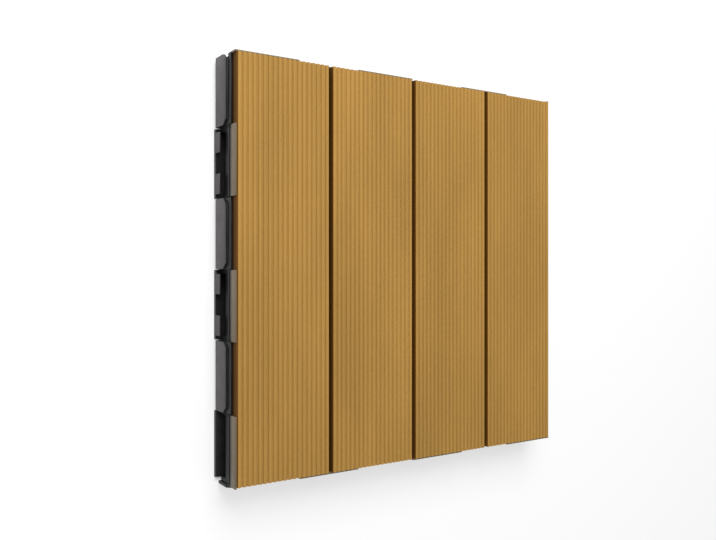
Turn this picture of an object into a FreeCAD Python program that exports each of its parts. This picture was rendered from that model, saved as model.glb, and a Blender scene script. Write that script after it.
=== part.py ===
import FreeCAD, Part
import os
import re

import Sketcher

# Interlocking deck tile: four ribbed boards snapped onto one moulded base.
# Millimetres. The tile lies base down, its boards run along Y, and the origin is
# at the middle of the underside. The edge is described in two directions: out
# from the side of the boards, and up from the ground.

SIZES = [
    ("tile_module", "300", "distance from one laid tile to the next"),
    ("board_count", "4", "boards across one tile"),
    ("board_gap", "3.2", "gap between boards, and between laid tiles"),
    ("board_height", "13", "board, feet to rib crests"),
    ("foot_flange", "3", "thickness of the flanges under a board"),
    ("foot_neck", "3", "height of the undercut above the flanges"),
    ("side_foot_width", "8.4", "flange along each long edge of a board"),
    ("side_leg_width", "6", "leg above that flange"),
    ("mid_foot_width", "10.5", "flange along the middle of a board"),
    ("mid_neck_width", "6", "neck above that flange"),
    ("rib_count", "19", "ribs along the top of a board"),
    ("rib_width", "2.9", "width of a rib at its root"),
    ("rib_height", "1.4", "height of a rib above the valleys"),
    ("rib_flank", "0.7", "height of a rib's straight flank"),
    ("rib_draft", "0.35", "how far a flank leans in"),
    ("base_height", "21.5", "ground to the seat of the boards"),
    ("wall", "2.4", "walls and lattice ribs of the base"),
    ("cells_across", "12", "lattice cells across the boards"),
    ("cells_along", "6", "lattice cells along the boards"),
    ("edge_depth", "16", "depth of the edge band that holds the joints"),
    ("teeth", "3", "tongues on each side of the tile"),
    ("tongue_reach", "3.6", "tongue beyond the side of the boards"),
    ("tongue_top", "20", "ground to the top of a tongue"),
    ("tongue_corner", "4", "bevel across a tongue's upper corners"),
    ("tongue_bevel", "0.6", "bevel round a tongue's outer face"),
    ("bead_height", "0.4", "snap bead along the tongue"),
    ("bead_width", "0.9", "snap bead, back from the tongue's face"),
    ("play", "0.4", "clearance between the parts of a joint"),
    ("floor_height", "2.4", "floor flange under a socket"),
    ("shelf_gap", "0.2", "clearance of shelf, nib and lip"),
    ("lip_width", "1.1", "lip that stands beside the boards"),
    ("lip_drop", "1.6", "rib crests down to the top of a lip"),
    ("lip_foot", "2.2", "seat of the boards up to the broad part of a lip"),
    ("lip_groove", "0.6", "groove between that part and the shelf"),
    ("rim_height", "3.7", "rim over a tongue, seat of the boards up"),
    ("nib_width", "0.5", "snap nib under the shelf"),
    ("recess_depth", "0.8", "socket's brow, back from the boards"),
    ("mouth_top", "11", "ground to the top of a socket's mouth"),
    ("mouth_length", "44", "length of a socket's mouth"),
    ("gutter_height", "10", "wall along the rim of a socket's floor, ground up"),
    ("gutter_wall", "1", "thickness of that wall"),
    ("drain_length", "15", "gap at the middle of that wall"),
    ("core_floor", "2.4", "skin left over the hollows of a tongue"),
    ("hook_rows", "3", "rows of hooks along a board"),
    ("hook_length", "8", "length of a hook along the board"),
    ("hook_leg", "1.8", "thickness of a hook's leg"),
    ("hook_barb", "1.5", "reach of the barb past its leg"),
    ("hook_fit", "0.35", "clearance between leg and flange"),
    ("hook_seat", "0.3", "clearance between barb and flange"),
    ("hook_root", "4", "depth of a hook's root below the seat"),
    ("foot_width", "14", "feet under the lattice"),
    ("overcut", "1", "how far a cut runs past the solid"),
]

doc = FreeCAD.newDocument("deck_tile")
sheet = doc.addObject("Spreadsheet::Sheet", "Sizes")
for row, (alias, number, meaning) in enumerate(SIZES, start=1):
    sheet.set(f"A{row}", alias)
    sheet.set(f"B{row}", number)
    sheet.set(f"C{row}", meaning)
    sheet.setAlias(f"B{row}", alias)
doc.recompute()


def bind(text):
    """The expression that reads each named size in the text from the sheet."""
    return re.sub(r"[a-z_]+", lambda word: "Sizes." + word.group(), text)


def value(text):
    return float(sheet.evalExpression(bind(text)))


# Lengths that follow from the sheet, written out once
FIELD = "(tile_module - board_gap)"
SIDE = "((tile_module - board_gap) / 2)"
PITCH = "(tile_module / board_count)"
BOARD = "(tile_module / board_count - board_gap)"
SEGMENT = "(tile_module / (2 * teeth))"
TOP = "(base_height + board_height)"
TONGUE_FOOT = "(floor_height + play)"
SHELF = "(tongue_top + bead_height + shelf_gap)"
LIP_IN = "shelf_gap"
LIP_OUT = "(shelf_gap + lip_width)"
INSIDE = "((tile_module - board_gap) / 2 - edge_depth - wall)"
SPAN = "((tile_module - board_gap) - 2 * edge_depth - wall)"
TONGUE_MIDDLE = "(tile_module / (2 * teeth) * (teeth - 0.5))"
SOCKET_MIDDLE = "(tile_module / (2 * teeth) * (teeth - 1.5))"
HOLLOW_FAR = "(tile_module / (4 * teeth) - play - wall)"
GUTTER_OUT = "(tongue_reach - shelf_gap)"
FIRST_BOARD = "((board_count - 1) / 2 * tile_module / board_count)"
HOOK_STEP = "(((tile_module - board_gap) - 2 * edge_depth - wall) / cells_along * 2)"


def origin_feature(body, role):
    return next(item for item in body.Origin.OriginFeatures if item.Role == role)


def sketch_on(body, name, plane, offset=None):
    """An empty sketch on one of the body's planes, moved along its normal."""
    sketch = body.newObject("Sketcher::SketchObject", name)
    sketch.AttachmentSupport = [(origin_feature(body, plane), "")]
    sketch.MapMode = "FlatFace"
    if offset:
        sketch.setExpression("AttachmentOffset.Base.z", bind(offset))
    return sketch


def hold(sketch, geometry, point, corner):
    """Ties one end of an edge to the two sizes that place it."""
    for kind, text in zip(("DistanceX", "DistanceY"), corner):
        index = sketch.addConstraint(
            Sketcher.Constraint(kind, -1, 1, geometry, point, value(text)))
        sketch.setExpression(f"Constraints[{index}]", bind(text))


def add_outline(sketch, corners):
    """Closed outline of straight edges, each corner given by two sizes."""
    spots = [FreeCAD.Vector(value(x), value(y), 0) for x, y in corners]
    first = sketch.GeometryCount
    for start, end in zip(spots, spots[1:] + spots[:1]):
        sketch.addGeometry(Part.LineSegment(start, end), False)
    for step, corner in enumerate(corners):
        following = first + (step + 1) % len(corners)
        sketch.addConstraint(
            Sketcher.Constraint("Coincident", first + step, 2, following, 1))
        hold(sketch, first + step, 1, corner)


def rectangle(left, right, bottom, top):
    return [(left, bottom), (right, bottom), (right, top), (left, top)]


def extrude(body, kind, name, sketch, length):
    """Pad or pocket, half to each side of the sketch."""
    feature = body.newObject("PartDesign::" + kind, name)
    feature.Profile = sketch
    feature.Midplane = True
    feature.setExpression("Length", bind(length))
    feature.Refine = False
    sketch.Visibility = False
    return feature


def along(body, name, axis, spacing, count, reverse=False):
    """A row of copies, for use in a pattern."""
    row = body.newObject("PartDesign::LinearPattern", name)
    row.Direction = (origin_feature(body, axis), [""])
    row.Reversed = reverse
    row.Mode = "Spacing"
    row.setExpression("Offset", bind(spacing))
    row.setExpression("Occurrences", bind(count))
    return row


def repeat(body, name, originals, steps):
    """The originals copied by each step in turn."""
    pattern = body.newObject("PartDesign::MultiTransform", name)
    pattern.Originals = originals
    pattern.Transformations = steps
    pattern.Refine = False
    body.Tip = pattern


def row_of_teeth(body, name, originals):
    """The originals repeated from tooth to tooth along the side."""
    row = along(body, name, "Y_Axis", f"2 * {SEGMENT}", "teeth", reverse=True)
    row.Originals = originals
    row.Refine = False
    body.Tip = row


# Boards

def make_board(number):
    """One extruded board: plate, two slots beneath, ribs on top."""
    body = doc.addObject("PartDesign::Body", f"Board{number}")
    body.Label = f"slat_{number}"
    valley = f"({TOP} - rib_height)"

    plate = sketch_on(body, f"BoardSection{number}", "XZ_Plane")
    add_outline(plate, rectangle(f"0 - {BOARD} / 2", f"{BOARD} / 2", "base_height", valley))
    extrude(body, "Pad", f"BoardPlate{number}", plate, FIELD)

    flange = "(base_height + foot_flange)"
    ceiling = "(base_height + foot_flange + foot_neck)"
    slots = sketch_on(body, f"SlotSection{number}", "XZ_Plane")
    for sign in ("", "0 - "):
        mid_flange = f"{sign}(mid_foot_width / 2)"
        mid_neck = f"{sign}(mid_neck_width / 2)"
        side_flange = f"{sign}({BOARD} / 2 - side_foot_width)"
        side_leg = f"{sign}({BOARD} / 2 - side_leg_width)"
        add_outline(slots, [
            (mid_flange, "base_height - overcut"),
            (side_flange, "base_height - overcut"),
            (side_flange, flange),
            (side_leg, flange),
            (side_leg, ceiling),
            (mid_neck, ceiling),
            (mid_neck, flange),
            (mid_flange, flange),
        ])
    extrude(body, "Pocket", f"Slots{number}", slots, f"{FIELD} + 2 * overcut")

    pitch = f"(({BOARD} - rib_width) / (rib_count - 1))"
    rib = sketch_on(body, f"RibSection{number}", "XZ_Plane")
    add_rib(rib, f"0 - ({BOARD} - rib_width) / 2", valley)
    first = extrude(body, "Pad", f"Rib{number}", rib, FIELD)
    row = along(body, f"RibRow{number}", "X_Axis", pitch, "rib_count")
    row.Originals = [first]
    body.Tip = row
    doc.recompute()

    body.setExpression(
        "Placement.Base.x", bind(f"({number} - (board_count + 1) / 2) * {PITCH}"))
    return body


def add_rib(sketch, middle, valley):
    """Section of one rib: leaning flanks and a rounded crest."""
    half = "rib_width / 2"
    root = f"({valley} - rib_flank)"
    shoulder = f"({valley} + rib_flank)"
    corners = [
        (f"{middle} - {half} + rib_draft", shoulder),
        (f"{middle} - {half}", valley),
        (f"{middle} - {half}", root),
        (f"{middle} + {half}", root),
        (f"{middle} + {half}", valley),
        (f"{middle} + {half} - rib_draft", shoulder),
    ]
    spots = [FreeCAD.Vector(value(x), value(y), 0) for x, y in corners]
    for start, end in zip(spots, spots[1:]):
        sketch.addGeometry(Part.LineSegment(start, end), False)
    crest = FreeCAD.Vector(value(middle), value(TOP), 0)
    sketch.addGeometry(Part.Arc(spots[-1], crest, spots[0]), False)
    last = len(corners) - 1
    for step, corner in enumerate(corners[:-1]):
        hold(sketch, step, 1, corner)
        if step:
            sketch.addConstraint(Sketcher.Constraint("Coincident", step - 1, 2, step, 1))
    hold(sketch, last - 1, 2, corners[-1])
    sketch.addConstraint(Sketcher.Constraint("Coincident", last, 1, last - 1, 2))
    sketch.addConstraint(Sketcher.Constraint("Coincident", last, 2, 0, 1))
    chord = "(rib_width / 2 - rib_draft)"
    rise = "(rib_height - rib_flank)"
    radius = f"({chord} * {chord} + {rise} * {rise}) / (2 * {rise})"
    index = sketch.addConstraint(Sketcher.Constraint("Radius", last, value(radius)))
    sketch.setExpression(f"Constraints[{index}]", bind(radius))


# Base

def edge(out):
    """X of a line that lies so far out from the boards' side, on the left."""
    return f"0 - {SIDE} - ({out})"


def edge_rectangle(inner, outer, bottom, top):
    return rectangle(edge(outer), edge(inner), bottom, top)


def make_base():
    """The moulding: lattice, edge band and the hooks and feet that stand on it."""
    pieces = [make_lattice(), make_band(), make_fittings()]
    base = doc.addObject("Part::MultiFuse", "Base")
    base.Shapes = pieces
    base.Refine = True
    base.Label = "base_grid"
    return base


def make_lattice():
    """Crossing ribs between open cells, inside the edge band."""
    body = doc.addObject("PartDesign::Body", "Lattice")
    level = f"({TONGUE_FOOT} + base_height) / 2"
    height = f"base_height - {TONGUE_FOOT}"
    slab = sketch_on(body, "SlabPlan", "XY_Plane", level)
    add_outline(slab, rectangle(f"0 - {INSIDE}", INSIDE, f"0 - {INSIDE}", INSIDE))
    extrude(body, "Pad", "Slab", slab, height)

    step_across = f"({SPAN} / cells_across)"
    step_along = f"({SPAN} / cells_along)"
    cell = sketch_on(body, "CellPlan", "XY_Plane", level)
    add_outline(cell, rectangle(
        f"0 - {INSIDE}", f"{step_across} - wall - {INSIDE}",
        f"0 - {INSIDE}", f"{step_along} - wall - {INSIDE}"))
    first = extrude(body, "Pocket", "Cell", cell, height)
    repeat(body, "Cells", [first], [
        along(body, "CellsAcross", "X_Axis", step_across, "cells_across"),
        along(body, "CellsAlong", "Y_Axis", step_along, "cells_along"),
    ])
    return body


def make_band():
    """The left side of the edge band with its joints, turned onto all four sides."""
    body = doc.addObject("PartDesign::Body", "Band")
    strip = sketch_on(body, "StripPlan", "XY_Plane", f"({TONGUE_FOOT} + base_height) / 2")
    add_outline(strip, rectangle(f"0 - {SIDE}", f"0 - {INSIDE}", f"0 - {SIDE}", INSIDE))
    extrude(body, "Pad", "Strip", strip, f"base_height - {TONGUE_FOOT}")
    skirt = sketch_on(body, "SkirtPlan", "XY_Plane", f"{TONGUE_FOOT} / 2")
    outer = f"({INSIDE} + wall)"
    add_outline(skirt, rectangle(f"0 - {outer}", f"0 - {INSIDE}", f"0 - {outer}", INSIDE))
    extrude(body, "Pad", "Skirt", skirt, TONGUE_FOOT)
    add_tongues(body)
    add_sockets(body)
    add_hollows(body)
    add_gutters(body)

    doc.recompute()
    ring = body.newObject("PartDesign::PolarPattern", "Sides")
    ring.TransformMode = "Whole shape"
    ring.Axis = (origin_feature(body, "Z_Axis"), [""])
    ring.Angle = 360
    ring.Occurrences = 4
    ring.Refine = False
    body.Tip = ring
    return body


def add_tongues(body):
    """Tongues with a snap bead and a rim that covers the foot of the boards."""
    tip = "tongue_reach"
    bead = "(tongue_top + bead_height)"
    rim_top = "(base_height + rim_height)"
    section = sketch_on(body, "TongueSection", "XZ_Plane", f"0 - {TONGUE_MIDDLE}")
    add_outline(section, [
        (edge("0 - play"), TONGUE_FOOT),
        (edge(f"{tip} - tongue_bevel"), TONGUE_FOOT),
        (edge(tip), f"{TONGUE_FOOT} + tongue_bevel"),
        (edge(tip), f"{bead} - tongue_bevel"),
        (edge(f"{tip} - tongue_bevel"), bead),
        (edge(f"{tip} - bead_width"), bead),
        (edge(f"{tip} - bead_width - bead_height"), "tongue_top"),
        (edge(LIP_OUT), "tongue_top"),
        (edge(LIP_OUT), rim_top),
        (edge(LIP_IN), rim_top),
        (edge(LIP_IN), "base_height"),
        (edge("0 - play"), "base_height"),
    ])
    tongue = extrude(body, "Pad", "Tongue", section, f"{SEGMENT} - 2 * play")

    corners = sketch_on(
        body, "CornerFace", "YZ_Plane", f"0 - {SIDE} - ({LIP_OUT} + tongue_reach + overcut) / 2")
    for sign in ("+", "-"):
        back = "-" if sign == "+" else "+"
        end = f"{TONGUE_MIDDLE} {sign} ({SEGMENT} / 2 - play)"
        add_outline(corners, [
            (end, bead),
            (f"{end} {back} tongue_corner", bead),
            (end, f"{bead} - tongue_corner"),
        ])
    bevel = extrude(body, "Pocket", "Corner", corners, f"tongue_reach + overcut - {LIP_OUT}")
    row_of_teeth(body, "Tongues", [tongue, bevel])

    room = sketch_on(body, "CornerRoomPlan", "XY_Plane", f"{SHELF} / 2")
    add_outline(room, rectangle(
        f"0 - {SEGMENT} * teeth", f"recess_depth - {SIDE}",
        f"{SIDE} - recess_depth", f"{SEGMENT} * teeth"))
    extrude(body, "Pocket", "CornerRoom", room, SHELF)


def add_sockets(body):
    """Sockets that take the next tile's tongues: shelf, lip, brow, mouth and floor."""
    place = f"0 - {SOCKET_MIDDLE}"
    length = f"{SEGMENT} - 2 * play"

    brow = sketch_on(body, "BrowSection", "XZ_Plane", place)
    add_outline(brow, edge_rectangle("0 - recess_depth", "play", f"{TONGUE_FOOT} - overcut", SHELF))
    recess = extrude(body, "Pocket", "Brow", brow, SEGMENT)

    shelf = sketch_on(body, "ShelfSection", "XZ_Plane", place)
    lip_top = f"({TOP} - lip_drop)"
    nib = f"({SHELF} - bead_height)"
    broad = "(base_height + lip_foot)"
    add_outline(shelf, [
        (edge("0 - wall"), SHELF),
        (edge(f"{LIP_OUT} - nib_width"), SHELF),
        (edge(f"{LIP_OUT} - nib_width"), nib),
        (edge(LIP_OUT), nib),
        (edge(LIP_OUT), "base_height"),
        (edge(f"{LIP_OUT} - lip_groove"), "base_height"),
        (edge(f"{LIP_OUT} - lip_groove"), broad),
        (edge(LIP_OUT), broad),
        (edge(LIP_OUT), f"{lip_top} - lip_width / 2"),
        (edge(f"{LIP_OUT} - lip_width / 2"), lip_top),
        (edge(LIP_IN), lip_top),
        (edge(LIP_IN), "base_height"),
        (edge("0 - wall"), "base_height"),
    ])
    lip = extrude(body, "Pad", "Shelf", shelf, length)

    floor = sketch_on(body, "FloorSection", "XZ_Plane", place)
    add_outline(floor, edge_rectangle(
        "0 - edge_depth - wall / 2", GUTTER_OUT, "0", "floor_height"))
    ledge = extrude(body, "Pad", "Floor", floor, length)

    mouth = sketch_on(body, "MouthSection", "XZ_Plane", place)
    ceiling = "(tongue_top - core_floor)"
    behind = "0 - recess_depth - wall"
    add_outline(mouth, [
        (edge("play"), "floor_height"),
        (edge("0 - edge_depth"), "floor_height"),
        (edge("0 - edge_depth"), ceiling),
        (edge(behind), ceiling),
        (edge(behind), "mouth_top"),
        (edge("play"), "mouth_top"),
    ])
    opening = extrude(body, "Pocket", "Mouth", mouth, "mouth_length")
    row_of_teeth(body, "Sockets", [recess, lip, ledge, opening])

    trim = sketch_on(body, "FloorTrimPlan", "XY_Plane", f"{TONGUE_FOOT} / 2")
    add_outline(trim, rectangle(
        edge("tongue_reach"), f"0 - {INSIDE}",
        f"0 - {SEGMENT} * teeth", f"recess_depth - {SIDE}"))
    extrude(body, "Pocket", "FloorTrim", trim, TONGUE_FOOT)


def add_hollows(body):
    """A hollow under each tongue; the one at the corner is half as long."""
    plan = sketch_on(body, "HollowPlan", "XY_Plane")
    for step in range(int(value("teeth"))):
        centre = f"({TONGUE_MIDDLE} - 2 * {SEGMENT} * {step})"
        high = f"{centre} + {HOLLOW_FAR}" if step else centre
        add_outline(plan, rectangle(
            edge("tongue_reach - wall"), edge("0 - edge_depth"),
            f"{centre} - {HOLLOW_FAR}", high))
    extrude(body, "Pocket", "Hollows", plan, "2 * (tongue_top - core_floor)")


def add_gutters(body):
    """Walls along the rim of the socket floors, which stand inside those hollows."""
    plan = sketch_on(body, "GutterPlan", "XY_Plane", "gutter_height / 2")
    near = "drain_length / 2"
    far = f"({HOLLOW_FAR} - play)"
    for step in range(int(value("teeth")) - 1):
        centre = f"({SOCKET_MIDDLE} - 2 * {SEGMENT} * {step})"
        for low, high in ((f"0 - {far}", f"0 - {near}"), (near, far)):
            add_outline(plan, rectangle(
                edge(GUTTER_OUT), edge(f"{GUTTER_OUT} - gutter_wall"),
                f"{centre} + {low}", f"{centre} + {high}"))
    extrude(body, "Pad", "Gutters", plan, "gutter_height")


def make_fittings():
    """Barbed hooks that catch over the boards' flanges, and a foot below each four."""
    body = doc.addObject("PartDesign::Body", "Fittings")
    foot = add_foot(body)
    hook = add_hook(body)
    repeat(body, "FittingRows", [foot, hook], [
        along(body, "FittingsAcross", "X_Axis", PITCH, "board_count"),
        along(body, "FittingsAlong", "Y_Axis", HOOK_STEP, "hook_rows"),
    ])
    return body


def add_hook(body):
    """The four hooks that hold one board at one row."""
    flange = "(base_height + foot_flange)"
    ceiling = "(base_height + foot_flange + foot_neck)"
    root = "(base_height - hook_root)"
    barb_low = f"({flange} + hook_seat)"
    barb_high = f"({ceiling} - hook_seat)"
    section = sketch_on(
        body, "HookSection", "XZ_Plane", f"{HOOK_STEP} * (hook_rows - 1) / 2")

    def hook(flange_edge, out):
        """One hook; out is the direction in which its barb points."""
        back = "-" if out == "+" else "+"
        leg = f"{flange_edge} {back} hook_fit"
        add_outline(section, [
            (leg, root),
            (leg, barb_low),
            (f"{leg} {out} hook_barb", barb_low),
            (f"{leg} {out} hook_barb", f"{barb_low} + hook_leg / 3"),
            (f"{leg} {back} hook_leg / 2", barb_high),
            (f"{leg} {back} hook_leg", barb_high),
            (f"{leg} {back} hook_leg", root),
        ])

    for sign in ("+", "-"):
        middle_edge = f"0 - {FIRST_BOARD} {sign} mid_foot_width / 2"
        side_edge = f"0 - {FIRST_BOARD} {sign} ({BOARD} / 2 - side_foot_width)"
        hook(middle_edge, "-" if sign == "+" else "+")
        hook(side_edge, sign)
    return extrude(body, "Pad", "Hook", section, "hook_length")


def add_foot(body):
    """A square foot under the lattice, below one row of hooks."""
    plan = sketch_on(body, "FootPlan", "XY_Plane", f"{TONGUE_FOOT} / 2")
    across = f"0 - {FIRST_BOARD}"
    row = f"0 - {HOOK_STEP} * (hook_rows - 1) / 2"
    half = "foot_width / 2"
    add_outline(plan, rectangle(
        f"{across} - {half}", f"{across} + {half}", f"{row} - {half}", f"{row} + {half}"))
    return extrude(body, "Pad", "Foot", plan, TONGUE_FOOT)


# Build, check and write

pieces = [make_board(number) for number in range(1, 5)]
pieces.append(make_base())
doc.recompute()

for item in doc.Objects:
    if "Invalid" in item.State or "Error" in item.State:
        raise RuntimeError(f"{item.Name} failed: {item.State}")
for piece in pieces:
    shape = piece.Shape
    if shape.isNull() or not shape.isValid() or len(shape.Solids) != 1:
        raise RuntimeError(f"{piece.Label} has no single valid solid")

os.makedirs("parts", exist_ok=True)
for piece in pieces:
    piece.Shape.exportStep(f"parts/{piece.Label}.step")
    print(piece.Label, round(piece.Shape.Volume), piece.Shape.BoundBox)
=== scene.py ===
"""Interlocking deck tile: ribbed composite boards on a black moulded base, on a pale floor."""

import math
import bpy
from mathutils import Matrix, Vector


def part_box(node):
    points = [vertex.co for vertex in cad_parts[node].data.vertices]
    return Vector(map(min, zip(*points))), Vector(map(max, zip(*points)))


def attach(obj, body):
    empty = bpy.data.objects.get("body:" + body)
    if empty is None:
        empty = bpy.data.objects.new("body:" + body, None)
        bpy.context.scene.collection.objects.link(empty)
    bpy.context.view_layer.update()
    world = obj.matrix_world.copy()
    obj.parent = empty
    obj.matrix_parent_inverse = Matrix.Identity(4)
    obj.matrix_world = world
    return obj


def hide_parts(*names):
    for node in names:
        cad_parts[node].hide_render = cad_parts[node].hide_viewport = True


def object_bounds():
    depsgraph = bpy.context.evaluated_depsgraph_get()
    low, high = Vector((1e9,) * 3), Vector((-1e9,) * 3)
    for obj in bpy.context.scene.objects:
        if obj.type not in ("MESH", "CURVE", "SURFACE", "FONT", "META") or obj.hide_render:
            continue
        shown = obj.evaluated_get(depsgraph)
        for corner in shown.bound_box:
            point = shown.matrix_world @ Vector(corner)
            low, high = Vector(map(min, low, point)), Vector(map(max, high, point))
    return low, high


bl_info = {
    "name": "Interlocking deck tile",
    "version": (1, 0, 0),
    "blender": (4, 5, 0),
    "location": "3D View > Sidebar > Deck Tile",
    "description": "Boards, moulded base and stage of one interlocking deck tile",
    "category": "Object",
}

import bmesh
import bpy
from mathutils import Matrix, Vector

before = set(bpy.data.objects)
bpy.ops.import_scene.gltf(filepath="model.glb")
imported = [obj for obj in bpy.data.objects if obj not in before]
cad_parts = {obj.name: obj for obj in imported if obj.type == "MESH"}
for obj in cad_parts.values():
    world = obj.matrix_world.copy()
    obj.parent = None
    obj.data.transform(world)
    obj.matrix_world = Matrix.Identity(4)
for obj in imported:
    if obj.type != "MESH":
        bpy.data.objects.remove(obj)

CAD_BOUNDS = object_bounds()
MM = 0.001
WHITE = (1.0, 1.0, 1.0, 1.0)

# The frame's nodes, and how far the tile's outermost faces stand from its middle
BOARD_NODES = sorted(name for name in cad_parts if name.startswith("slat_"))
BASE_NODE = "base_grid"
FIRST_LOW, FIRST_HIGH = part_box(BOARD_NODES[0])
SECOND_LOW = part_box(BOARD_NODES[1])[0]
TILE_EDGE = CAD_BOUNDS[1][0]

# The photograph's frame, and where its camera stood over the tile
PHOTO_WIDTH_PX = 716
FOCAL_PX = 760.0
SENSOR_MM = 36.0
CAMERA_PLACE = (-0.3557, -0.0004, FIRST_HIGH.z + 0.4781)
CAMERA_AIM = (0.5361, 0.0, -0.8442)

# The large soft lamp, which faces the middle of the tile
KEY_PLACE = (-0.25, 0.78, 1.02)
KEY_SIDE = 0.9

# The floor's own near-white, and the white paper that the camera sees of it round the tile
FLOOR_COLOUR = (0.90, 0.90, 0.90, 1.0)
PAPER_GLOW = 1.1
PAPER_MARGIN = 4 * MM

# One side of a rib from its crest outwards, in half widths and rib heights
RIB_CROWN = [(0.0, 1.0), (0.34, 0.97), (0.58, 0.87), (0.76, 0.70), (0.88, 0.48)]
RIB_INTO_VALLEY = [(0.97, 0.24), (1.05, 0.06), (1.13, 0.0)]
RIB_OVER_EDGE = [(0.96, 0.24), (1.0, 0.0)]

# Steps round the section's rounded corners, and the distance within which points are one
FOOT_STEPS = 3
EDGE_STEPS = 4
SAME_POINT = 1e-6

# How far a face looks along an axis to count as a square end or edge, or as rolled over
SQUARE_ON = 0.97
ROLLED_OVER = 0.8

# The boards' slow waver, in features to the metre across, along and up
WAVER_SCALE = (95.0, 16.0, 95.0)

# How far the composite's pattern moves from board to board, so that no two are alike
BOARD_SHIFT = (1.7, 2.3, 0.9)

# How softly the painted reflection on the outermost faces and the upper warm grey begin
SHEEN_MARGIN = 0.5 * MM
WARM_GREY_MARGIN = 1.0 * MM

# Mesh work: corners merged, flat faces joined, edges rounded, and edges shaded smooth
WELD_DISTANCE = 0.02 * MM
FLAT_ANGLE = math.radians(0.5)
ROUNDED_ANGLE = math.radians(30)
SMOOTH_ANGLE = math.radians(32)


# Sizes and colours

class BoardSettings(bpy.types.PropertyGroup):
    width: bpy.props.FloatProperty(
        name="Width", description="Width of one board",
        default=FIRST_HIGH.x - FIRST_LOW.x, unit="LENGTH")
    length: bpy.props.FloatProperty(
        name="Length", description="Length of one board",
        default=FIRST_HIGH.y - FIRST_LOW.y, unit="LENGTH")
    pitch: bpy.props.FloatProperty(
        name="Pitch", description="Distance from one board to the next",
        default=SECOND_LOW.x - FIRST_LOW.x, unit="LENGTH")
    seat: bpy.props.FloatProperty(
        name="Seat", description="Height of the boards' feet above the ground",
        default=FIRST_LOW.z, unit="LENGTH")
    height: bpy.props.FloatProperty(
        name="Height", description="Feet to rib crests",
        default=FIRST_HIGH.z - FIRST_LOW.z, unit="LENGTH")
    ribs: bpy.props.IntProperty(
        name="Ribs", description="Ribs along the top of a board", default=19, min=2)
    rib_width: bpy.props.FloatProperty(
        name="Rib width", description="Width of a rib at its root",
        default=2.9 * MM, unit="LENGTH")
    rib_height: bpy.props.FloatProperty(
        name="Rib height", description="Height of a rib above the valleys",
        default=1.4 * MM, unit="LENGTH")
    edge_round: bpy.props.FloatProperty(
        name="Edge round", description="Rounding of the board's long lower edges",
        default=0.5 * MM, unit="LENGTH")
    foot_round: bpy.props.FloatProperty(
        name="Foot round", description="Rounding of the flanges under the board",
        default=0.35 * MM, unit="LENGTH")
    flange: bpy.props.FloatProperty(
        name="Flange", description="Thickness of the flanges under the board",
        default=3.0 * MM, unit="LENGTH")
    neck: bpy.props.FloatProperty(
        name="Neck", description="Height of the undercut above the flanges",
        default=3.0 * MM, unit="LENGTH")
    side_foot: bpy.props.FloatProperty(
        name="Side foot", description="Width of the flange along each long edge",
        default=8.4 * MM, unit="LENGTH")
    side_leg: bpy.props.FloatProperty(
        name="Side leg", description="Width of the leg above that flange",
        default=6.0 * MM, unit="LENGTH")
    mid_foot: bpy.props.FloatProperty(
        name="Middle foot", description="Width of the flange along the middle",
        default=10.5 * MM, unit="LENGTH")
    mid_neck: bpy.props.FloatProperty(
        name="Middle neck", description="Width of the neck above that flange",
        default=6.0 * MM, unit="LENGTH")
    stations: bpy.props.IntProperty(
        name="Stations", description="Sections along the length of a board",
        default=40, min=2)
    waviness: bpy.props.FloatProperty(
        name="Waviness", description="How far the extrusion strays from side to side",
        default=0.12 * MM, unit="LENGTH")
    # Painted shade: how far it comes round the long edges of a board
    skin: bpy.props.FloatProperty(
        name="Skin", description="How far the unbrushed skin comes round the long edges",
        default=0.35 * MM, unit="LENGTH")
    colour: bpy.props.FloatVectorProperty(
        name="Colour", description="Golden brown of the composite", subtype="COLOR",
        size=3, min=0.0, max=1.0, default=(0.425, 0.240, 0.060))
    # Painted shade: the dark brown given to the long side faces, which also fills the gaps
    # between boards
    flank_shade_colour: bpy.props.FloatVectorProperty(
        name="Flank colour", description="Dark brown of the unbrushed long edges",
        subtype="COLOR", size=3, min=0.0, max=1.0, default=(0.195, 0.076, 0.006))
    cut_colour: bpy.props.FloatVectorProperty(
        name="Cut colour", description="Paler tan of the sawn ends", subtype="COLOR",
        size=3, min=0.0, max=1.0, default=(0.50, 0.31, 0.115))


class BaseSettings(bpy.types.PropertyGroup):
    edge_round: bpy.props.FloatProperty(
        name="Edge round", description="Rounding of the moulding's edges",
        default=0.22 * MM, unit="LENGTH")
    colour: bpy.props.FloatVectorProperty(
        name="Colour", description="Black of the moulding", subtype="COLOR",
        size=3, min=0.0, max=1.0, default=(0.012, 0.0115, 0.0115))
    roughness: bpy.props.FloatProperty(
        name="Roughness", description="Roughness of the moulded surface",
        default=0.38, min=0.0, max=1.0)
    scuff_colour: bpy.props.FloatVectorProperty(
        name="Scuff colour", description="Dull grey of the scuffs", subtype="COLOR",
        size=3, min=0.0, max=1.0, default=(0.045, 0.044, 0.043))
    # Warm grey on the moulding above a height, which takes in the lips
    warm_grey_level: bpy.props.FloatProperty(
        name="Dust level", description="Height above which the lips carry sanding dust",
        default=FIRST_LOW.z + 4.2 * MM, unit="LENGTH")
    warm_grey_colour: bpy.props.FloatVectorProperty(
        name="Dust colour", description="Warm grey of the dusty lips", subtype="COLOR",
        size=3, min=0.0, max=1.0, default=(0.172, 0.130, 0.082))
    # Painted reflection: the outermost faces of the moulding are made paler grey
    sheen_from: bpy.props.FloatProperty(
        name="Rubbed from", description="Distance from the middle of the tile past which "
        "the faces are rubbed pale", default=TILE_EDGE - 0.9 * MM, unit="LENGTH")
    sheen_colour: bpy.props.FloatVectorProperty(
        name="Rubbed colour", description="Grey of the rubbed tongue faces", subtype="COLOR",
        size=3, min=0.0, max=1.0, default=(0.088, 0.080, 0.084))


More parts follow.
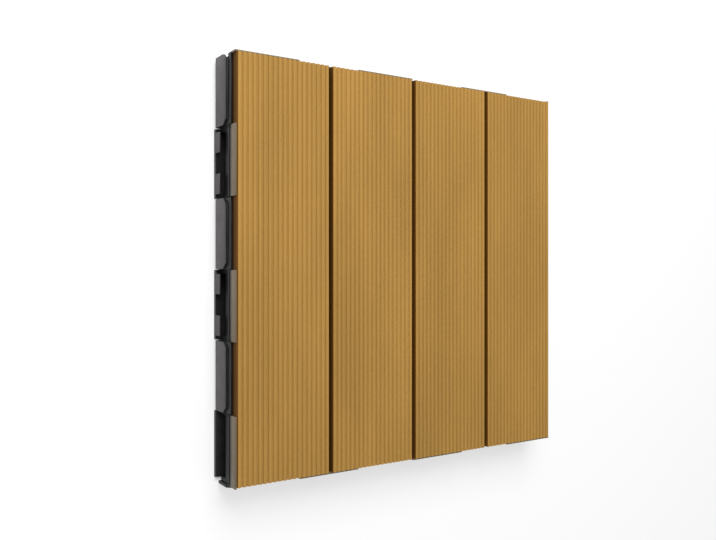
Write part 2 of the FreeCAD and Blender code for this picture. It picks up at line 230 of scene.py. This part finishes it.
class StageSettings(bpy.types.PropertyGroup):
    floor_size: bpy.props.FloatProperty(
        name="Floor size", description="Side of the pale floor", default=8.0, unit="LENGTH")
    floor_lift: bpy.props.FloatProperty(
        name="Floor lift", description="How far the camera sees the floor as white paper",
        default=0.55, min=0.0, max=1.0)
    world_level: bpy.props.FloatProperty(
        name="World level", description="Strength of the even light from all round",
        default=0.42, min=0.0)
    key_power: bpy.props.FloatProperty(
        name="Key light", description="Power of the large soft light over the tile",
        default=17.5, min=0.0, unit="POWER")


# Shared helpers

def link(obj):
    bpy.context.scene.collection.objects.link(obj)
    return obj


def feed(tree, socket, value):
    """Links a socket to another one or to a node's first output, or sets a plain value."""
    if isinstance(value, bpy.types.Node):
        value = value.outputs[0]
    if isinstance(value, bpy.types.NodeSocket):
        tree.links.new(value, socket)
    else:
        socket.default_value = value


def node(tree, kind, inputs=None, **properties):
    """A node with its properties set, and its inputs fed by name or index."""
    made = tree.nodes.new(kind)
    for key, value in properties.items():
        setattr(made, key, value)
    for key, value in (inputs or {}).items():
        feed(tree, made.inputs[key], value)
    return made


def emptied_tree(block):
    """The node tree of a material or a world, with nothing in it."""
    block.use_nodes = True
    block.node_tree.nodes.clear()
    return block.node_tree


def maths(tree, operation, first, second):
    return node(tree, "ShaderNodeMath", {0: first, 1: second}, operation=operation)


def vector_maths(tree, operation, inputs):
    return node(tree, "ShaderNodeVectorMath", inputs, operation=operation)


def reach_by_axis(tree, vector):
    """How far a vector goes along X, Y and Z, either way."""
    size = vector_maths(tree, "ABSOLUTE", {0: vector})
    return node(tree, "ShaderNodeSeparateXYZ", {0: size}).outputs


def furthest_side(tree, coordinates):
    """The greater of the distances from the middle across and along the tile."""
    reach = reach_by_axis(tree, coordinates)
    return maths(tree, "MAXIMUM", reach["X"], reach["Y"])


def scaled_noise(tree, source, scale, detail):
    """Noise with so many features to the metre along X, Y and Z."""
    place = node(tree, "ShaderNodeMapping", {"Vector": source, "Scale": scale})
    return node(tree, "ShaderNodeTexNoise", {
        "Vector": place, "Scale": 1.0, "Detail": detail, "Roughness": 0.55})


def ramp(tree, source, between, to=(0.0, 1.0)):
    """Maps one range of a source to another, clamped."""
    return node(tree, "ShaderNodeMapRange", {
        "Value": source, "From Min": between[0], "From Max": between[1],
        "To Min": to[0], "To Max": to[1]})


def blend(tree, factor, first, second):
    """Mixes two colours. They and the factor are nodes, sockets or plain values."""
    made = node(tree, "ShaderNodeMix", {0: factor}, data_type="RGBA")
    colours = [socket for socket in made.inputs if socket.type == "RGBA"]
    for socket, value in zip(colours, (first, second)):
        feed(tree, socket, value)
    return next(socket for socket in made.outputs if socket.type == "RGBA")


def shade(colour, factor=1.0, lift=0.0):
    """A colour of the settings, made darker or paler, with its alpha."""
    return tuple(min(1.0, factor * part + lift) for part in colour) + (1.0,)


# Board: section and material

def quarter_turn(x, z, radius, start, steps):
    """Points on a quarter of a circle, anticlockwise from an angle in degrees."""
    angles = [math.radians(start + 90 * step / steps) for step in range(steps + 1)]
    return [(x + radius * math.cos(angle), z + radius * math.sin(angle)) for angle in angles]


def rib_outline(middle, settings, valley, ends_left, ends_right):
    """One rib from left to right, each side filleted into a valley or rolled over the edge
    of the board."""
    half = settings.rib_width / 2
    left = RIB_CROWN + (RIB_OVER_EDGE if ends_left else RIB_INTO_VALLEY)
    right = RIB_CROWN + (RIB_OVER_EDGE if ends_right else RIB_INTO_VALLEY)
    shape = [(-x, z) for x, z in reversed(left)] + right[1:]
    return [(middle + x * half, valley + z * settings.rib_height) for x, z in shape]


def board_section(settings):
    """Outline of a board's section, anticlockwise, feet at height nought."""
    half = settings.width / 2
    flange, ceiling = settings.flange, settings.flange + settings.neck
    mid_foot, mid_neck = settings.mid_foot / 2, settings.mid_neck / 2
    side_foot, side_leg = half - settings.side_foot, half - settings.side_leg
    small, edge = settings.foot_round, settings.edge_round
    right = [
        *quarter_turn(mid_foot - small, small, small, -90, FOOT_STEPS),
        *quarter_turn(mid_foot - small, flange - small, small, 0, FOOT_STEPS),
        (mid_neck, flange), (mid_neck, ceiling), (side_leg, ceiling), (side_leg, flange),
        *quarter_turn(side_foot + small, flange - small, small, 90, FOOT_STEPS),
        *quarter_turn(side_foot + small, small, small, 180, FOOT_STEPS),
        *quarter_turn(half - edge, edge, edge, -90, EDGE_STEPS)]
    left = [(-x, z) for x, z in reversed(right)]

    valley = settings.height - settings.rib_height
    last = settings.ribs - 1
    pitch = (settings.width - settings.rib_width) / last
    crests = []
    for index in range(settings.ribs):
        middle = half - settings.rib_width / 2 - index * pitch
        crests += reversed(rib_outline(middle, settings, valley, index == last, index == 0))

    outline = right + crests + left
    return [point for point, before in zip(outline, outline[-1:] + outline[:-1])
            if math.dist(point, before) > SAME_POINT]


def section_curve(settings):
    """The section as a closed curve in the XY plane, upside down as the sweep takes it."""
    points = board_section(settings)
    curve = bpy.data.curves.new("board_section", "CURVE")
    curve.dimensions = "2D"
    spline = curve.splines.new("POLY")
    spline.points.add(len(points) - 1)
    for target, (x, z) in zip(spline.points, reversed(points)):
        target.co = (x, -z, 0.0, 1.0)
    spline.use_cyclic_u = True
    return link(bpy.data.objects.new("board_section", curve))


def composite_material(settings):
    """Brushed wood-plastic composite: fibres along the board, painted shade on its long side
    faces, deepest towards their feet, and paler sawn ends."""
    material = bpy.data.materials.new("brushed_composite")
    tree = emptied_tree(material)
    coordinates = node(tree, "ShaderNodeTexCoord").outputs["Object"]
    height = node(tree, "ShaderNodeSeparateXYZ", {0: coordinates}).outputs["Z"]
    # Sawn ends, and the long side faces that take the painted shade
    number, sawn, shaded_flank_mask = (
        node(tree, "ShaderNodeAttribute", attribute_name=name).outputs["Fac"]
        for name in ("board", "cut_end", "flank"))
    shift = vector_maths(tree, "SCALE", {0: BOARD_SHIFT, "Scale": number})
    place = vector_maths(tree, "ADD", {0: coordinates, 1: shift})

    cloud = scaled_noise(tree, place, (26.0, 7.0, 26.0), detail=3.0)
    streak = scaled_noise(tree, place, (420.0, 9.0, 420.0), detail=3.0)
    fleck = scaled_noise(tree, place, (1500.0, 420.0, 1500.0), detail=1.0)
    fibre = scaled_noise(tree, place, (2600.0, 330.0, 2600.0), detail=2.0)
    chips = scaled_noise(tree, place, (900.0, 900.0, 900.0), detail=4.0)

    golden = shade(settings.colour)
    deep = shade(settings.colour, 0.80)
    pale = shade(settings.colour, 1.16)
    dark = shade(settings.colour, 0.50)
    clouded = blend(tree, ramp(tree, cloud, between=(0.34, 0.66)), deep, pale)
    body = blend(tree, 0.55, clouded, golden)
    lined = blend(tree, ramp(tree, streak, between=(0.38, 0.70), to=(0.0, 0.35)), body, deep)
    flecked = blend(tree, ramp(tree, fleck, between=(0.62, 0.74), to=(0.0, 0.40)), lined, pale)
    brushed = blend(
        tree, ramp(tree, fibre, between=(0.28, 0.40), to=(0.45, 0.0)), flecked, dark)

    # Painted shade on the side faces: deepest below a quarter of the height, fading towards the
    # crest
    darkest_shade_below = settings.seat + 0.25 * settings.height
    crest = settings.seat + settings.height
    shade_depth = ramp(tree, height, between=(darkest_shade_below, crest), to=(0.96, 0.05))
    skin = blend(tree, shade_depth, shade(settings.flank_shade_colour), shade(settings.flank_shade_colour, 0.08))
    cut = blend(
        tree, ramp(tree, chips, between=(0.35, 0.65)), shade(settings.cut_colour), golden)
    colour = blend(tree, sawn, blend(tree, shaded_flank_mask, brushed, skin), cut)

    bump = node(tree, "ShaderNodeBump", {
        "Strength": 0.35, "Distance": 0.12 * MM, "Height": maths(tree, "ADD", fibre, streak)})
    surface = node(tree, "ShaderNodeBsdfPrincipled", {
        "Base Color": colour,
        "Roughness": ramp(tree, fibre, between=(0.2, 0.8), to=(0.70, 0.90)),
        "Specular IOR Level": 0.15, "Normal": bump})
    node(tree, "ShaderNodeOutputMaterial", {"Surface": surface})
    return material


# Boards: node tree that sweeps the section and lays the boards side by side

def swept_board(tree, source):
    """One board over the origin, its section swept along Y, with closed ends."""
    start, end = (
        node(tree, "ShaderNodeCombineXYZ", {
            "Y": maths(tree, "MULTIPLY", source["Length"], share)})
        for share in (-0.5, 0.5))
    line = node(tree, "GeometryNodeCurvePrimitiveLine", {"Start": start, "End": end})
    divided = node(tree, "GeometryNodeResampleCurve", {
        "Curve": line, "Count": source["Stations"]})
    path = node(tree, "GeometryNodeSetCurveNormal", {"Curve": divided}, mode="Z_UP")
    section = node(tree, "GeometryNodeObjectInfo", {"Object": source["Section"]})
    return node(tree, "GeometryNodeCurveToMesh", {
        "Curve": path, "Profile Curve": section.outputs["Geometry"], "Fill Caps": True})


def stored(tree, geometry, name, value, domain):
    """The geometry with a number stored on each of its faces or instances."""
    return node(tree, "GeometryNodeStoreNamedAttribute",
                {"Geometry": geometry, "Name": name, "Value": value},
                data_type="FLOAT", domain=domain)


def marked_board(tree, board, flank_shade_from):
    """The board with its sawn ends marked, and the long side faces that take the painted shade.
    """
    facing = reach_by_axis(tree, node(tree, "GeometryNodeInputNormal"))
    reach = reach_by_axis(tree, node(tree, "GeometryNodeInputPosition"))
    sawn = maths(tree, "GREATER_THAN", facing["Y"], SQUARE_ON)
    # Upright faces, and steep faces near the long edges, take the painted shade
    upright = maths(tree, "GREATER_THAN", facing["X"], SQUARE_ON)
    steep = maths(tree, "GREATER_THAN", facing["X"], ROLLED_OVER)
    outermost = maths(tree, "GREATER_THAN", reach["X"], flank_shade_from)
    rolled = maths(tree, "MULTIPLY", steep, outermost)
    skin = maths(tree, "MAXIMUM", upright, rolled)
    return stored(tree, stored(tree, board, "cut_end", sawn, "FACE"), "flank", skin, "FACE")


def laid_boards(tree, board, source):
    """Numbered copies of the board side by side, about the middle of the tile."""
    steps = maths(tree, "SUBTRACT", source["Count"], 1.0)
    spread = maths(tree, "MULTIPLY", steps, source["Pitch"])
    first = maths(tree, "MULTIPLY", spread, -0.5)
    row = node(tree, "GeometryNodeMeshLine", {
        "Count": source["Count"],
        "Start Location": node(tree, "ShaderNodeCombineXYZ", {"X": first, "Z": source["Seat"]}),
        "Offset": node(tree, "ShaderNodeCombineXYZ", {"X": source["Pitch"]})})
    copies = node(tree, "GeometryNodeInstanceOnPoints", {"Points": row, "Instance": board})
    index = node(tree, "GeometryNodeInputIndex")
    numbered = stored(tree, copies, "board", index, "INSTANCE")
    return node(tree, "GeometryNodeRealizeInstances", {"Geometry": numbered})


def wavering(tree, boards, waviness):
    """The boards moved slightly from side to side, as an extrusion strays."""
    spot = node(tree, "GeometryNodeInputPosition")
    place = vector_maths(tree, "MULTIPLY", {0: spot, 1: WAVER_SCALE})
    noise = node(tree, "ShaderNodeTexNoise", {"Vector": place, "Scale": 1.0, "Detail": 1.0})
    stray = maths(tree, "MULTIPLY", maths(tree, "SUBTRACT", noise, 0.5), waviness)
    sideways = node(tree, "ShaderNodeCombineXYZ", {"X": stray})
    return node(tree, "GeometryNodeSetPosition", {"Geometry": boards, "Offset": sideways})


def boards_tree(material):
    tree = bpy.data.node_groups.new("Deck boards", "GeometryNodeTree")
    for name, kind in (("Section", "NodeSocketObject"), ("Count", "NodeSocketInt"),
                       ("Pitch", "NodeSocketFloat"), ("Length", "NodeSocketFloat"),
                       ("Seat", "NodeSocketFloat"), ("Stations", "NodeSocketInt"),
                       ("Waviness", "NodeSocketFloat"), ("Flank Shade From", "NodeSocketFloat")):
        tree.interface.new_socket(name, in_out="INPUT", socket_type=kind)
    tree.interface.new_socket("Geometry", in_out="OUTPUT", socket_type="NodeSocketGeometry")
    source = node(tree, "NodeGroupInput").outputs
    board = marked_board(tree, swept_board(tree, source), source["Flank Shade From"])
    boards = wavering(tree, laid_boards(tree, board, source), source["Waviness"])
    finished = node(tree, "GeometryNodeSetMaterial", {"Geometry": boards, "Material": material})
    node(tree, "NodeGroupOutput", {0: finished})
    return tree


def set_input(modifier, name, value):
    """Sets a named input of the modifier's tree by its identifier."""
    for item in modifier.node_group.interface.items_tree:
        if item.item_type == "SOCKET" and item.in_out == "INPUT" and item.name == name:
            modifier[item.identifier] = value
            return
    raise ValueError(f"the tree has no input named {name}")


def plain_mesh(holder, name):
    """The evaluated result as a smoothly shaded mesh object; the holder is removed."""
    graph = bpy.context.evaluated_depsgraph_get()
    graph.update()
    mesh = bpy.data.meshes.new_from_object(holder.evaluated_get(graph))
    mesh.name = name
    mesh.shade_smooth()
    mesh.set_sharp_from_angle(angle=SMOOTH_ANGLE)
    old = holder.data
    bpy.data.objects.remove(holder)
    bpy.data.meshes.remove(old)
    return link(bpy.data.objects.new(name, mesh))


class DECKTILE_OT_boards(bpy.types.Operator):
    """Sweeps the ribbed section and lays the boards side by side"""
    bl_idname = "decktile.boards"
    bl_label = "Boards"

    def execute(self, context):
        settings = context.scene.deck_boards
        section = section_curve(settings)
        holder = link(bpy.data.objects.new("boards", bpy.data.meshes.new("boards_holder")))
        modifier = holder.modifiers.new("Deck boards", "NODES")
        modifier.node_group = boards_tree(composite_material(settings))
        for name, value in (("Section", section), ("Count", len(BOARD_NODES)),
                            ("Pitch", settings.pitch), ("Length", settings.length),
                            ("Seat", settings.seat), ("Stations", settings.stations),
                            ("Waviness", settings.waviness),
                            ("Flank Shade From", settings.width / 2 - settings.skin)):
            set_input(modifier, name, value)
        boards = plain_mesh(holder, "boards")
        bpy.data.objects.remove(section)
        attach(boards, "root")
        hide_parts(*BOARD_NODES)
        return {"FINISHED"}


# Base

def moulding_material(settings):
    """Black moulded plastic with a fine grain and faint scuffs, a painted reflection of pale
    grey on the outermost faces, and warm grey above a height, on the lips."""
    material = bpy.data.materials.new("black_moulding")
    tree = emptied_tree(material)
    coordinates = node(tree, "ShaderNodeTexCoord").outputs["Object"]
    height = node(tree, "ShaderNodeSeparateXYZ", {0: coordinates}).outputs["Z"]
    cloud = scaled_noise(tree, coordinates, (55.0, 55.0, 55.0), detail=3.0)
    grain = scaled_noise(tree, coordinates, (2600.0, 2600.0, 2600.0), detail=2.0)
    scuff = scaled_noise(tree, coordinates, (240.0, 240.0, 900.0), detail=5.0)

    tone = blend(tree, ramp(tree, cloud, between=(0.40, 0.68), to=(0.0, 0.6)),
                 shade(settings.colour), shade(settings.colour, 1.9, lift=0.004))
    scuffed = blend(tree, ramp(tree, scuff, between=(0.66, 0.80), to=(0.0, 0.5)),
                    tone, shade(settings.scuff_colour))
    # Painted reflection on the outermost faces, patchy
    outer = ramp(tree, furthest_side(tree, coordinates),
                 between=(settings.sheen_from, settings.sheen_from + SHEEN_MARGIN))
    patchy = ramp(tree, scuff, between=(0.30, 0.62), to=(0.72, 1.0))
    sheened = blend(tree, maths(tree, "MULTIPLY", outer, patchy),
                   scuffed, shade(settings.sheen_colour))
    # Warm grey on everything above a height
    warm_grey = ramp(tree, height, between=(settings.warm_grey_level, settings.warm_grey_level + WARM_GREY_MARGIN))

    bump = node(tree, "ShaderNodeBump", {
        "Strength": 0.25, "Distance": 0.05 * MM, "Height": grain})
    surface = node(tree, "ShaderNodeBsdfPrincipled", {
        "Base Color": blend(tree, warm_grey, sheened, shade(settings.warm_grey_colour)),
        "Roughness": ramp(tree, cloud, between=(0.3, 0.7),
                          to=(settings.roughness - 0.06, settings.roughness + 0.12)),
        "IOR": 1.49, "Specular IOR Level": 0.28, "Normal": bump})
    node(tree, "ShaderNodeOutputMaterial", {"Surface": surface})
    return material


class DECKTILE_OT_base(bpy.types.Operator):
    """Rounds the edges of the moulded base and gives it its plastic"""
    bl_idname = "decktile.base"
    bl_label = "Moulded base"

    def execute(self, context):
        settings = context.scene.deck_base
        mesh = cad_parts[BASE_NODE].data.copy()
        shape = bmesh.new()
        shape.from_mesh(mesh)
        bmesh.ops.remove_doubles(shape, verts=shape.verts, dist=WELD_DISTANCE)
        bmesh.ops.dissolve_limit(
            shape, angle_limit=FLAT_ANGLE, verts=shape.verts, edges=shape.edges)
        shape.to_mesh(mesh)
        shape.free()
        holder = link(bpy.data.objects.new("base_holder", mesh))
        bevel = holder.modifiers.new("Edge round", "BEVEL")
        bevel.width = settings.edge_round
        bevel.segments = 2
        bevel.limit_method = "ANGLE"
        bevel.angle_limit = ROUNDED_ANGLE
        base = plain_mesh(holder, "base_moulding")
        base.data.materials.clear()
        base.data.materials.append(moulding_material(settings))
        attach(base, "root")
        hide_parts(BASE_NODE)
        return {"FINISHED"}


# Stage

def pale_floor_material(lift):
    """Matte near-white, lifted for the camera outside the tile so that it reads as white
    paper, and plain under the tile, where it shows dark between the boards."""
    material = bpy.data.materials.new("pale_floor")
    tree = emptied_tree(material)
    coordinates = node(tree, "ShaderNodeTexCoord").outputs["Object"]
    outside = ramp(tree, furthest_side(tree, coordinates),
                   between=(TILE_EDGE - PAPER_MARGIN, TILE_EDGE), to=(0.0, lift))
    seen = node(tree, "ShaderNodeLightPath").outputs["Is Camera Ray"]
    plain = node(tree, "ShaderNodeBsdfDiffuse", {"Color": FLOOR_COLOUR})
    paper = node(tree, "ShaderNodeEmission", {"Color": WHITE, "Strength": PAPER_GLOW})
    surface = node(tree, "ShaderNodeMixShader", {
        "Fac": maths(tree, "MULTIPLY", seen, outside), 1: plain, 2: paper})
    node(tree, "ShaderNodeOutputMaterial", {"Surface": surface})
    return material


def pale_floor(side, lift):
    half = side / 2
    mesh = bpy.data.meshes.new("floor")
    mesh.from_pydata(
        [(-half, -half, 0.0), (half, -half, 0.0), (half, half, 0.0), (-half, half, 0.0)],
        [], [(0, 1, 2, 3)])
    mesh.materials.append(pale_floor_material(lift))
    return link(bpy.data.objects.new("floor", mesh))


def paper_world(level):
    """Even light from all round, which the camera sees as white paper."""
    world = bpy.data.worlds.new("studio")
    tree = emptied_tree(world)
    seen = node(tree, "ShaderNodeLightPath").outputs["Is Camera Ray"]
    light = node(tree, "ShaderNodeBackground", {"Color": WHITE, "Strength": level})
    paper = node(tree, "ShaderNodeBackground", {"Color": WHITE, "Strength": 1.0})
    surface = node(tree, "ShaderNodeMixShader", {"Fac": seen, 1: light, 2: paper})
    node(tree, "ShaderNodeOutputWorld", {"Surface": surface})
    return world


def soft_light(name, place, side, power):
    """A square lamp that faces the middle of the tile."""
    lamp = bpy.data.lights.new(name, "AREA")
    lamp.shape = "SQUARE"
    lamp.size = side
    lamp.energy = power
    turn = (-Vector(place)).to_track_quat("-Z", "Y").to_matrix().to_4x4()
    obj = link(bpy.data.objects.new(name, lamp))
    obj.matrix_world = Matrix.Translation(place) @ turn


def photograph_camera():
    """The photograph's camera, with the top of its picture towards +Y."""
    lens = bpy.data.cameras.new("camera")
    lens.sensor_width = SENSOR_MM
    lens.lens = FOCAL_PX / PHOTO_WIDTH_PX * SENSOR_MM
    forward = Vector(CAMERA_AIM).normalized()
    upward = Vector((0.0, 1.0, 0.0))
    turn = Matrix((forward.cross(upward), upward, -forward)).transposed().to_4x4()
    camera = link(bpy.data.objects.new("camera", lens))
    camera.matrix_world = Matrix.Translation(CAMERA_PLACE) @ turn
    return camera


class DECKTILE_OT_stage(bpy.types.Operator):
    """Pale floor, soft studio light and the photograph's camera"""
    bl_idname = "decktile.stage"
    bl_label = "Stage"

    def execute(self, context):
        scene = context.scene
        settings = scene.deck_stage
        scene.view_settings.view_transform = "Standard"
        floor = pale_floor(settings.floor_size, settings.floor_lift)
        scene.world = paper_world(settings.world_level)
        soft_light("key_light", KEY_PLACE, KEY_SIDE, settings.key_power)
        scene.camera = photograph_camera()
        return {"FINISHED"}


# Panel and registration

class DECKTILE_PT_panel(bpy.types.Panel):
    bl_label = "Deck Tile"
    bl_idname = "DECKTILE_PT_panel"
    bl_space_type = "VIEW_3D"
    bl_region_type = "UI"
    bl_category = "Deck Tile"

    def draw(self, context):
        for operator in OPERATORS:
            self.layout.operator(operator.bl_idname)
        for group in SETTINGS:
            settings = getattr(context.scene, group)
            for name in settings.bl_rna.properties.keys():
                if name not in ("rna_type", "name"):
                    self.layout.prop(settings, name)


SETTINGS = {"deck_boards": BoardSettings, "deck_base": BaseSettings, "deck_stage": StageSettings}
OPERATORS = (DECKTILE_OT_boards, DECKTILE_OT_base, DECKTILE_OT_stage)
CLASSES = (*SETTINGS.values(), *OPERATORS, DECKTILE_PT_panel)


def register():
    for cls in CLASSES:
        bpy.utils.register_class(cls)
    for name, group in SETTINGS.items():
        setattr(bpy.types.Scene, name, bpy.props.PointerProperty(type=group))


def unregister():
    for name in SETTINGS:
        delattr(bpy.types.Scene, name)
    for cls in reversed(CLASSES):
        bpy.utils.unregister_class(cls)


def main():
    register()
    bpy.ops.decktile.boards()
    bpy.ops.decktile.base()
    bpy.ops.decktile.stage()


if __name__ == "__main__":
    main()
